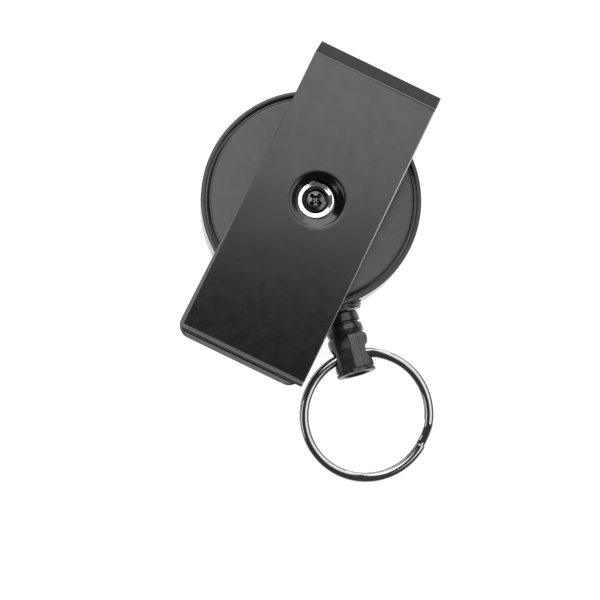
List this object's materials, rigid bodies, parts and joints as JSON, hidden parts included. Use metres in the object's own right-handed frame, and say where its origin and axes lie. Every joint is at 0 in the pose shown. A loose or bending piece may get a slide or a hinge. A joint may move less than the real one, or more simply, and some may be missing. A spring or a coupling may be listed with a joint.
{
  "type": "retractable badge reel",
  "caption": "Retractable badge reel: round case with a sprung cord spool, a swivelling spring-steel belt clip, and an end fitting that carries a split ring.",
  "frame": {"origin": "centre of the case's front face, which lies on the floor", "axes": "+Z from the front face to the back, where the clip is; the cord leaves towards -Y"},
  "size_m": [0.0636, 0.0892, 0.0224],
  "materials": {
    "shell_plastic": "moulded black, satin",
    "cover_plate": "satin black plate",
    "clip_steel": "black coated spring steel, satin",
    "fitting_plastic": "moulded black",
    "dark_chrome": "black nickel, polished",
    "bright_nickel": "bright nickel plate",
    "zinc_steel": "zinc plated",
    "screw_black": "black zinc plated",
    "spring_steel": "blued spring steel",
    "brass": "turned",
    "acetal": "moulded natural acetal",
    "cord": "braided black cord"
  },
  "bodies": {
    "case": {"front_shell": "shell_plastic", "back_cover": "cover_plate", "outlet_bushing": "fitting_plastic", "spindle": "zinc_steel", "front_thrust_washer": "acetal", "back_thrust_washer": "acetal", "mainspring": "spring_steel", "friction_washer": "acetal", "pivot_bush": "brass", "cup_washer": "bright_nickel", "clip_screw": "screw_black"},
    "spool": {"spool": "acetal", "spring_cover": "zinc_steel", "cord_winding": "cord", "anchor_knot": "cord"},
    "end_fitting": {"end_fitting": "fitting_plastic", "crimp_ferrule": "brass", "cord_lead": "cord"},
    "ring": {"split_ring": "dark_chrome"},
    "clip": {"clip_inner_leaf": "clip_steel"},
    "clip_leaf": {"clip_outer_leaf": "clip_steel"}
  },
  "joints": [
    {"name": "cord_pull", "type": "slide", "parent": "case", "child": "end_fitting", "axis": [0, -1, 0], "range_m": [0, 0.9], "stiffness_N_per_m": 2.2, "springref_m": -0.9, "deforming": ["cord_lead"]},
    {"name": "spool_spin", "type": "hinge", "parent": "case", "child": "spool", "pos_m": [0.00048, -0.00076, 0.0065], "axis": [0, 0, 1], "range_deg": [-3600, 0], "deforming": ["mainspring"]},
    {"name": "clip_swivel", "type": "hinge", "parent": "case", "child": "clip", "pos_m": [0.00048, -0.00076, 0.01415], "axis": [0, 0, 1], "continuous": true},
    {"name": "clip_flex", "type": "hinge", "parent": "clip", "child": "clip_leaf", "pos_m": [0.01907, 0.02071, 0.01415], "axis": [-0.7559, 0.6547, 0], "range_deg": [0, 8], "stiffness_Nm_per_rad": 3, "springref_deg": -1.72},
    {"name": "ring_swing", "type": "hinge", "parent": "end_fitting", "child": "ring", "pos_m": [0, -0.03229, 0.00695], "axis": [1, 0, 0], "range_deg": [-48, 60]}
  ],
  "couplings": [
    {"joint": "spool_spin", "follows": "cord_pull", "rad_per_m": -66.7}
  ]
}
